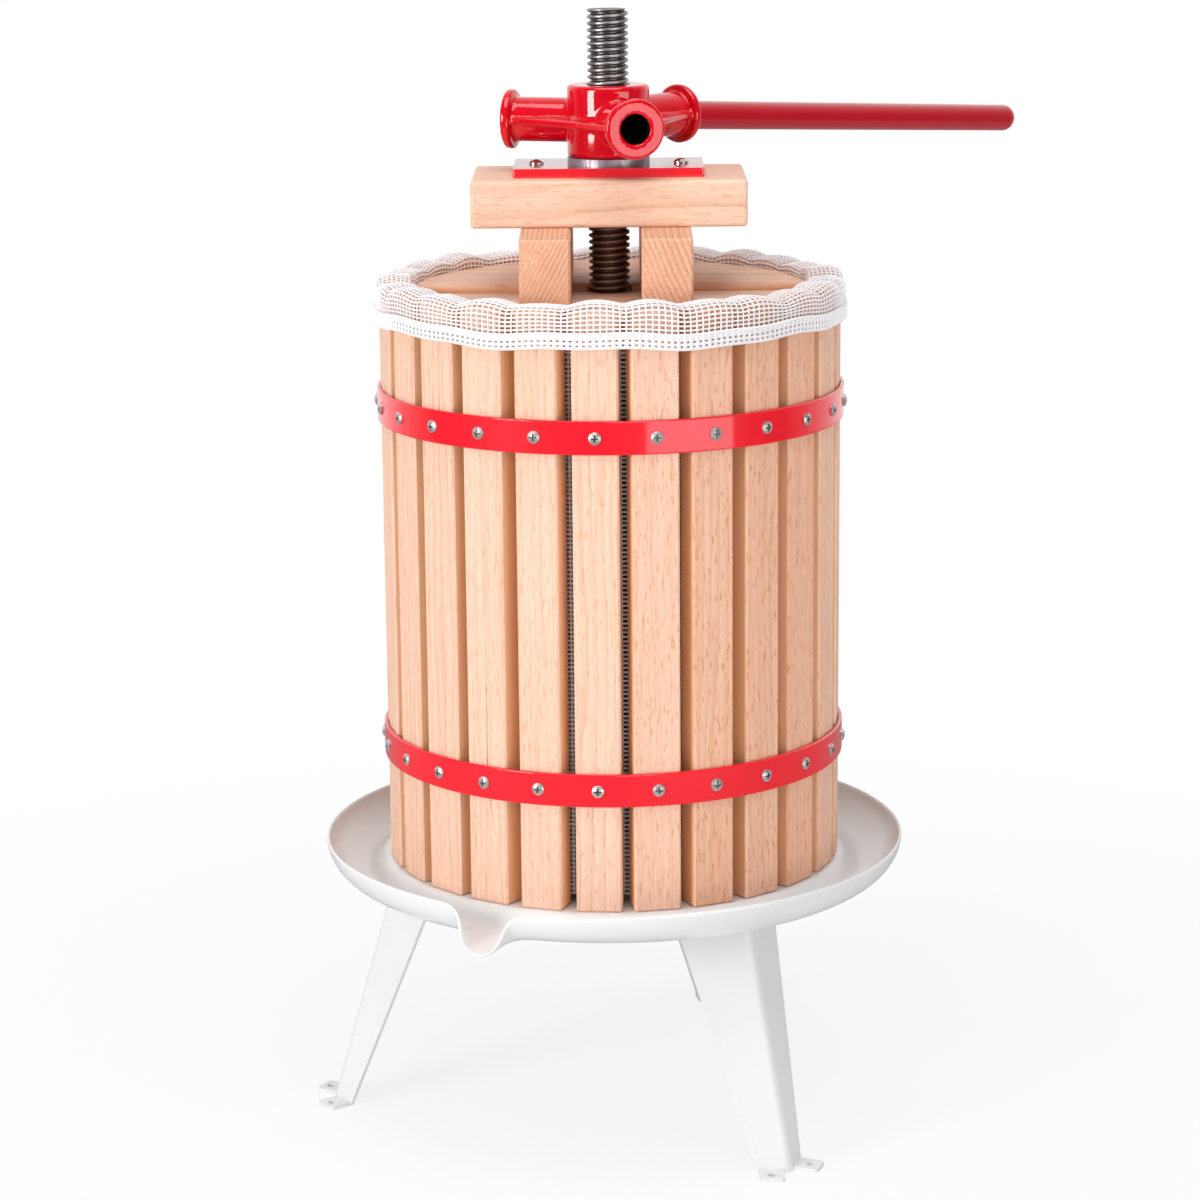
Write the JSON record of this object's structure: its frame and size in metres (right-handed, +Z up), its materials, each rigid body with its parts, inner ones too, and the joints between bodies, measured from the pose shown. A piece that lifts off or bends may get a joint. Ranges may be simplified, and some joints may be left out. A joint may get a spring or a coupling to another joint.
{
  "type": "basket wine press",
  "caption": "Hand screw press: slatted wooden basket with hoops and net bag on a footed juice pan with a lip; a socketed hub with a lever bar runs down the spindle.",
  "frame": {"origin": "on the floor, under the spindle's axis, at the centre of the circle of floor-screw holes", "axes": "+Z up along the spindle, -Y the front (the pouring lip is 25 degrees left of it), +X to the right"},
  "size_m": [0.4689, 0.4561, 0.688],
  "materials": {
    "beech_slats": "sanded",
    "beech_blocks": "sanded",
    "white_enamel": "gloss",
    "red_enamel": "gloss",
    "red_casting": "gloss paint",
    "black_steel": "oiled",
    "washer_steel": "satin",
    "zinc_steel": "bright zinc",
    "white_net": "open mesh"
  },
  "bodies": {
    "frame": {"juice_pan": "white_enamel", "leg_left": "white_enamel", "leg_front_right": "white_enamel", "leg_rear": "white_enamel", "leg_bolts": "zinc_steel", "leg_nuts": "zinc_steel", "spindle": "black_steel", "spindle_collar": "zinc_steel", "spindle_washer": "zinc_steel", "spindle_nut": "zinc_steel"},
    "basket": {"slat_01": "beech_slats", "slat_02": "beech_slats", "slat_03": "beech_slats", "slat_04": "beech_slats", "slat_05": "beech_slats", "slat_06": "beech_slats", "slat_07": "beech_slats", "slat_08": "beech_slats", "slat_09": "beech_slats", "slat_10": "beech_slats", "slat_11": "beech_slats", "slat_12": "beech_slats", "slat_13": "beech_slats", "slat_14": "beech_slats", "slat_15": "beech_slats", "slat_16": "beech_slats", "slat_17": "beech_slats", "slat_18": "beech_slats", "slat_19": "beech_slats", "slat_20": "beech_slats", "slat_21": "beech_slats", "slat_22": "beech_slats", "slat_23": "beech_slats", "slat_24": "beech_slats", "slat_25": "beech_slats", "hoop_lower": "red_enamel", "hoop_upper": "red_enamel", "hoop_screws_lower": "zinc_steel", "hoop_screws_upper": "zinc_steel", "net_bag": "white_net"},
    "press_stack": {"half_plate_front": "beech_blocks", "half_plate_rear": "beech_blocks", "press_bar_left": "beech_blocks", "press_bar_right": "beech_blocks", "beam": "beech_blocks", "thrust_plate": "red_enamel", "thrust_screws": "zinc_steel", "thrust_washer": "washer_steel"},
    "hub": {"hub": "red_casting"},
    "lever": {"lever_bar": "red_enamel"}
  },
  "joints": [
    {"name": "basket_lift", "type": "slide", "parent": "frame", "child": "basket", "axis": [0, 0, 1], "range_m": [0, 0.02]},
    {"name": "press_travel", "type": "slide", "parent": "frame", "child": "press_stack", "axis": [0, 0, 1], "range_m": [-0.0501, 0.0401]},
    {"name": "hub_turn", "type": "hinge", "parent": "press_stack", "child": "hub", "pos_m": [0, 0, 0.621], "axis": [0, 0, 1], "range_deg": [-4500, 3600]},
    {"name": "lever_pull", "type": "slide", "parent": "hub", "child": "lever", "axis": [0.7088, 0.7014, -0.075], "range_m": [0, 0.034]}
  ],
  "couplings": [
    {"joint": "press_travel", "follows": "hub_turn", "m_per_rad": 0.00063662}
  ]
}
